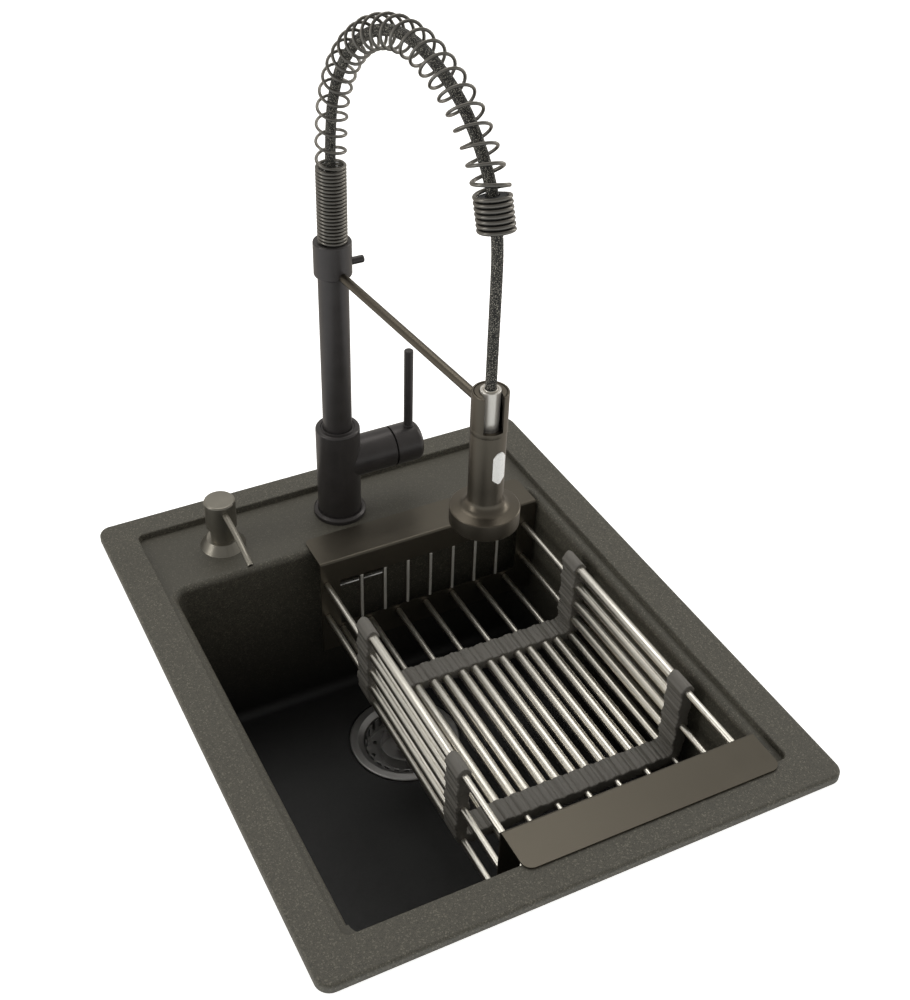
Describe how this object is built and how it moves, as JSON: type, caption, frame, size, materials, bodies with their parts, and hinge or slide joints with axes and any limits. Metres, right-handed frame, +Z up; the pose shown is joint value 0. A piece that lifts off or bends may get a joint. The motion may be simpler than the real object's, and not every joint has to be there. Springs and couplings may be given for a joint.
{
  "type": "workstation kitchen sink",
  "caption": "Moulded single-bowl kitchen sink with recessed tap deck, spring pull-down mixer tap, soap pump, basket drain and telescoping drainer basket.",
  "frame": {"origin": "centre of the worktop cut-out, on the worktop's upper face, which is the underside of the rim", "axes": "+Z up out of the bowl, +X along the tap deck to the user's right, -Y towards the user"},
  "size_m": [0.46, 0.56, 0.8512],
  "materials": {
    "granite": "satin",
    "black_metal": "satin",
    "gunmetal": "satin",
    "spring_steel": "satin",
    "hose_braid": "woven",
    "stainless": "satin",
    "chrome_trim": "polished",
    "dark_steel": "polished",
    "brass_part": "satin",
    "black_rubber": "matt",
    "grip_silicone": "matt",
    "black_plastic": "matt",
    "white_plastic": "gloss",
    "nozzle_plate": "matt",
    "bottle_plastic": "translucent gloss",
    "grey_metal": "satin"
  },
  "bodies": {
    "sink": {"sink_rim": "granite", "sink_side_walls": "granite", "sink_end_walls": "granite", "sink_floor": "granite", "rim_seal": "black_rubber", "rim_clips": "stainless", "clip_screws": "stainless", "overflow_cover": "chrome_trim", "overflow_housing": "black_plastic", "drain_body": "dark_steel", "drain_gasket": "black_rubber", "drain_locknut": "black_plastic", "tailpiece": "stainless", "tailpiece_nut": "black_plastic", "tap_base_ring": "black_metal", "tap_body": "black_metal", "tap_shank": "brass_part", "shank_gasket": "black_rubber", "shank_washer": "stainless", "shank_nut": "brass_part", "mixer_cartridge": "white_plastic", "cartridge_nut": "brass_part", "pump_flange": "grey_metal", "pump_nut": "black_plastic", "pump_barrel": "white_plastic", "pump_spring": "spring_steel", "soap_bottle": "bottle_plastic", "dip_tube": "white_plastic"},
    "mixer_stem": {"cartridge_spindle": "white_plastic"},
    "mixer_handle": {"handle_stem": "white_plastic", "mixer_cap": "black_metal", "mixer_lever": "black_metal"},
    "spout": {"column_ring": "stainless", "spout_column": "black_metal", "bracket_collar": "black_metal", "holder_arm": "gunmetal", "holder_cup": "gunmetal", "spout_spring": "spring_steel", "hose_upper": "hose_braid"},
    "bracket_lock": {"bracket_screw": "black_metal"},
    "spray_head": {"hose_lower": "hose_braid", "spray_neck": "chrome_trim", "spray_shell": "gunmetal", "spray_face": "nozzle_plate"},
    "spray_trigger": {"spray_button": "white_plastic"},
    "strainer": {"strainer_cup": "chrome_trim", "strainer_plug": "black_rubber", "strainer_knob": "chrome_trim"},
    "pump_rod": {"pump_stem": "white_plastic"},
    "pump_top": {"pump_head": "grey_metal", "pump_nozzle": "grey_metal"},
    "basket": {"floor_tubes": "stainless", "side_tubes": "stainless", "back_grip": "grip_silicone", "front_grip": "grip_silicone"},
    "back_end": {"back_hanger": "gunmetal", "back_rods": "stainless"},
    "front_end": {"front_hanger": "gunmetal", "front_rods": "stainless"}
  },
  "joints": [
    {"name": "mixer_temperature", "type": "hinge", "parent": "sink", "child": "mixer_stem", "pos_m": [0.001, 0.2145, 0.0625], "axis": [1, 0, 0], "range_deg": [-35, 35]},
    {"name": "mixer_flow", "type": "hinge", "parent": "mixer_stem", "child": "mixer_handle", "pos_m": [0.03939, 0.2145, 0.0625], "axis": [0, 1, 0], "range_deg": [0, 18]},
    {"name": "spout_swivel", "type": "hinge", "parent": "sink", "child": "spout", "pos_m": [0.001, 0.2145, 0.103], "axis": [0, 0, 1], "range_deg": [-80, 80]},
    {"name": "bracket_lock_turn", "type": "hinge", "parent": "spout", "child": "bracket_lock", "pos_m": [0.001, 0.2145, 0.2765], "axis": [1, 0, 0], "range_deg": [0, 360]},
    {"name": "spray_pull_down", "type": "slide", "parent": "spout", "child": "spray_head", "axis": [0, 0, -1], "range_m": [0, 0.05], "stiffness_N_per_m": 60, "springref_m": -0.1},
    {"name": "spray_button_press", "type": "slide", "parent": "spray_head", "child": "spray_trigger", "axis": [-0.2974, 0.9548, 0], "range_m": [0, 0.0015], "stiffness_N_per_m": 800, "springref_m": -0.0005},
    {"name": "strainer_lift", "type": "slide", "parent": "sink", "child": "strainer", "axis": [0, 0, 1], "range_m": [0, 0.06]},
    {"name": "soap_pump_press", "type": "slide", "parent": "sink", "child": "pump_rod", "axis": [0, 0, -1], "range_m": [0, 0.012], "stiffness_N_per_m": 300, "springref_m": -0.006, "deforming": ["pump_spring"]},
    {"name": "soap_pump_swivel", "type": "hinge", "parent": "pump_rod", "child": "pump_top", "pos_m": [-0.123, 0.2145, 0.05], "axis": [0, 0, 1], "range_deg": [-100, 100]},
    {"name": "basket_shift", "type": "slide", "parent": "sink", "child": "basket", "axis": [1, 0, 0], "range_m": [-0.13, 0]},
    {"name": "back_end_slide", "type": "slide", "parent": "basket", "child": "back_end", "axis": [0, 1, 0], "range_m": [-0.06, 0.005]},
    {"name": "front_end_slide", "type": "slide", "parent": "basket", "child": "front_end", "axis": [0, -1, 0], "range_m": [-0.05, 0.02]}
  ]
}
